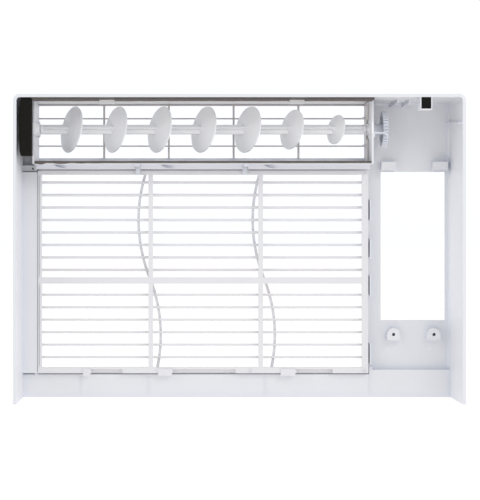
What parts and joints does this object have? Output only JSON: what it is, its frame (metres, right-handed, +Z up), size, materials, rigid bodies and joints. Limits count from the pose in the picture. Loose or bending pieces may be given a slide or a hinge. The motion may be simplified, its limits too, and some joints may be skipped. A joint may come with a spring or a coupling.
{
  "type": "window air conditioner front panel",
  "caption": "Open-backed white front panel of a window air conditioner, with tilted swing discs on a geared shaft behind the air outlet and a tilting slatted intake grille.",
  "frame": {"origin": "middle of the base, level with the lower edges of the side walls", "axes": "+X along the width, towards the idle end of the vane shaft; -Y is the front, towards the room; +Z up"},
  "size_m": [0.56, 0.095, 0.384],
  "materials": {
    "bezel_plastic": "satin white moulding with fine grain",
    "outlet_plastic": "satin warm white moulding",
    "vane_plastic": "satin white moulding",
    "grille_plastic": "satin white moulding",
    "pin_plastic": "satin grey-white moulding",
    "foam": "open-cell dark foam"
  },
  "bodies": {
    "panel": {"front_bezel": "bezel_plastic", "outlet_grille": "outlet_plastic", "outlet_cheek": "outlet_plastic", "idle_bearing": "vane_plastic", "drive_bearing": "vane_plastic", "gear_retainer": "vane_plastic", "catch_pockets": "bezel_plastic", "foam_top_strip": "foam", "foam_floor_strip": "foam", "foam_side_block": "foam", "foam_plug": "foam", "foam_clips": "vane_plastic", "door_latches": "vane_plastic"},
    "vane_rotor": {"vane_shaft": "vane_plastic", "vane_disc_1": "vane_plastic", "vane_disc_2": "vane_plastic", "vane_disc_3": "vane_plastic", "vane_disc_4": "vane_plastic", "vane_disc_5": "vane_plastic", "vane_disc_6": "vane_plastic", "vane_disc_7": "vane_plastic", "drive_gear": "vane_plastic"},
    "intake_door": {"intake_grille": "grille_plastic", "filter_frame": "grille_plastic", "filter_clips": "grille_plastic", "filter_pins": "pin_plastic", "hinge_pins": "pin_plastic"}
  },
  "joints": [
    {"name": "vane_spin", "type": "hinge", "parent": "panel", "child": "vane_rotor", "pos_m": [0, -0.0085, 0.3436], "axis": [1, 0, 0], "continuous": true},
    {"name": "grille_tilt", "type": "hinge", "parent": "panel", "child": "intake_door", "pos_m": [0, -0.044, 0.0336], "axis": [1, 0, 0], "range_deg": [0, 40]}
  ]
}
